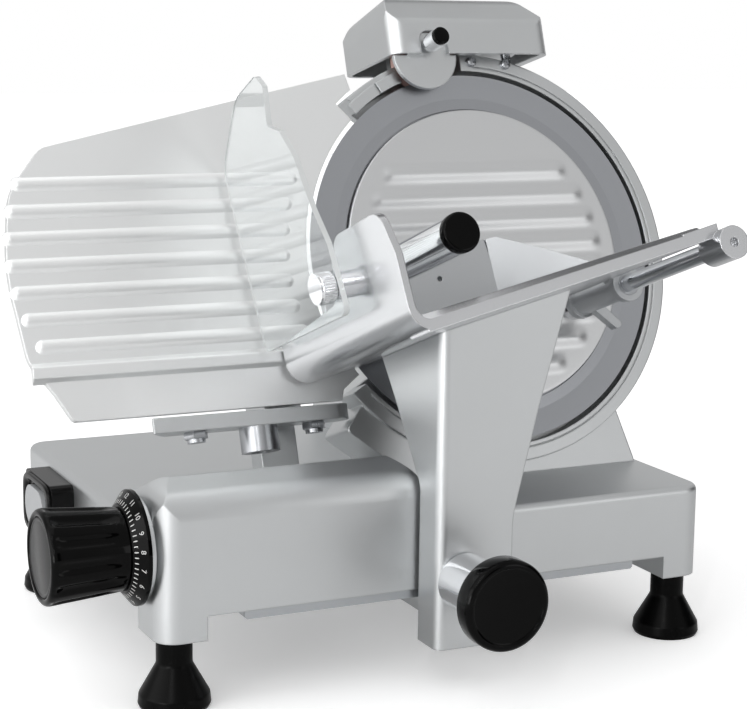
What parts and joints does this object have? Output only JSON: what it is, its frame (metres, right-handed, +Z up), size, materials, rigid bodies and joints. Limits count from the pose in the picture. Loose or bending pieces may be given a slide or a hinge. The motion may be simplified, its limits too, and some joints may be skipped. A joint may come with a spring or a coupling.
{
  "type": "gravity feed food slicer",
  "caption": "Tabletop slicer: an upright leaning round blade in a ring guard, a sliding food tray on an arm, a ribbed gauge plate set by a knob, and a sharpener on top.",
  "frame": {"origin": "on the bench, midway between the four rubber feet", "axes": "+Z up, +X along the carriage travel away from the thickness knob, -Y towards the operator"},
  "size_m": [0.4163, 0.3393, 0.3609],
  "materials": {
    "casting": "satin, silver anodised casting",
    "plate_aluminium": "satin, anodised",
    "tray_aluminium": "polished and anodised",
    "blade_steel": "turned, satin",
    "steel": "plain",
    "polished_steel": "ground and polished",
    "sheet_steel": "zinc plated",
    "chrome": "polished",
    "zinc": "plain casting",
    "bronze": "sintered",
    "rubber": "matt",
    "belt_rubber": "matt",
    "black_gloss": "gloss",
    "black_plastic": "satin",
    "grey_plastic": "satin",
    "white_plastic": "satin",
    "motor_grey": "satin",
    "clear_acrylic": "clear and polished",
    "stone": "rough abrasive"
  },
  "bodies": {
    "base": {"base_casting": "casting", "rubber_feet": "rubber", "base_fasteners": "steel", "bottom_plate": "sheet_steel", "cable_gland": "black_plastic", "carriage_rod": "polished_steel", "guide_rail": "sheet_steel", "switch_box": "black_plastic", "frame_casting": "casting", "ring_end_blocks": "casting", "motor_housing": "casting", "hub_bearings": "steel", "drive_belt": "belt_rubber", "motor_body": "motor_grey", "blade_cover_plate": "plate_aluminium", "cover_tie_rod": "steel", "tie_rod_knob": "black_gloss", "slice_deflector": "plate_aluminium", "guide_bushing": "bronze", "sharpener_posts": "polished_steel"},
    "blade": {"blade": "blade_steel", "blade_screws": "steel", "blade_hub": "steel", "hub_pulley": "zinc"},
    "motor_shaft": {"motor_rotor": "steel", "motor_pulley": "zinc"},
    "switch_button": {"switch_button": "grey_plastic"},
    "thickness_knob": {"knob_cam": "zinc", "knob_shaft": "steel", "knob_dial": "black_gloss", "knob_grip": "black_gloss"},
    "gauge": {"gauge_plate": "plate_aluminium", "gauge_bracket": "casting", "gauge_bolts": "steel", "gauge_slide_bar": "polished_steel", "follower_arm": "sheet_steel", "follower_pin": "steel"},
    "carriage": {"carriage_foot": "casting", "slide_bushes": "bronze", "rail_shoe": "white_plastic", "carriage_arm": "casting", "food_tray": "tray_aluminium", "tray_screws": "steel", "pusher_rod": "polished_steel", "hand_guard": "clear_acrylic", "guard_fixing": "chrome"},
    "lock": {"lock_neck": "chrome", "lock_knob": "black_gloss", "lock_stud": "steel"},
    "pusher_slider": {"pusher_bushes": "bronze"},
    "pusher": {"pusher": "tray_aluminium", "pusher_teeth": "steel", "pusher_handle": "chrome", "handle_cap": "black_gloss"},
    "sharpener": {"sharpener_cover": "casting", "sharpener_carrier": "casting"},
    "hone_button": {"hone_button": "chrome"},
    "hone_stone": {"hone_stone": "stone"},
    "grind_button": {"grind_button": "chrome"},
    "grind_stone": {"grind_stone": "stone"}
  },
  "joints": [
    {"name": "blade_spin", "type": "hinge", "parent": "base", "child": "blade", "pos_m": [0.076, -0.02, 0.213], "axis": [0, -0.9426, 0.3338], "continuous": true},
    {"name": "motor_spin", "type": "hinge", "parent": "base", "child": "motor_shaft", "pos_m": [0.114, -0.03402, 0.17341], "axis": [0, -0.9426, 0.3338], "continuous": true},
    {"name": "knob_turn", "type": "hinge", "parent": "base", "child": "thickness_knob", "pos_m": [-0.164, -0.097, 0.082], "axis": [1, 0, 0], "range_deg": [0, 300]},
    {"name": "gauge_slide", "type": "slide", "parent": "base", "child": "gauge", "axis": [0, 0.9426, -0.3338], "range_m": [0, 0.01]},
    {"name": "carriage_slide", "type": "slide", "parent": "base", "child": "carriage", "axis": [1, 0, 0], "range_m": [-0.105, 0.1]},
    {"name": "lock_turn", "type": "hinge", "parent": "carriage", "child": "lock", "pos_m": [-0.005, -0.17, 0.06], "axis": [0, -1, 0], "range_deg": [0, 350]},
    {"name": "pusher_slide", "type": "slide", "parent": "carriage", "child": "pusher_slider", "axis": [0, -0.9426, 0.3338], "range_m": [0, 0.08]},
    {"name": "pusher_swing", "type": "hinge", "parent": "pusher_slider", "child": "pusher", "pos_m": [0.12717, -0.06903, 0.19437], "axis": [0, -0.9426, 0.3338], "range_deg": [-120, 0]},
    {"name": "sharpener_lift", "type": "slide", "parent": "base", "child": "sharpener", "axis": [0, 0.3338, 0.9426], "range_m": [0, 0.03]},
    {"name": "hone_press", "type": "slide", "parent": "sharpener", "child": "hone_button", "axis": [0, 0.9426, -0.3338], "range_m": [0, 0.002], "stiffness_N_per_m": 600, "springref_m": -0.003},
    {"name": "hone_spin", "type": "hinge", "parent": "hone_button", "child": "hone_stone", "pos_m": [0.052, 0.01906, 0.3323], "axis": [0, -0.9426, 0.3338], "continuous": true},
    {"name": "grind_press", "type": "slide", "parent": "sharpener", "child": "grind_button", "axis": [0, -0.9426, 0.3338], "range_m": [0, 0.002], "stiffness_N_per_m": 600, "springref_m": -0.003},
    {"name": "grind_spin", "type": "hinge", "parent": "grind_button", "child": "grind_stone", "pos_m": [0.052, 0.02666, 0.32378], "axis": [0, -0.9426, 0.3338], "continuous": true},
    {"name": "switch_press", "type": "slide", "parent": "base", "child": "switch_button", "axis": [1, 0, 0], "range_m": [0, 0.0025], "stiffness_N_per_m": 800, "springref_m": -0.002}
  ],
  "couplings": [
    {"joint": "motor_spin", "follows": "blade_spin", "ratio": 3},
    {"joint": "knob_turn", "follows": "gauge_slide", "rad_per_m": 523.6}
  ]
}
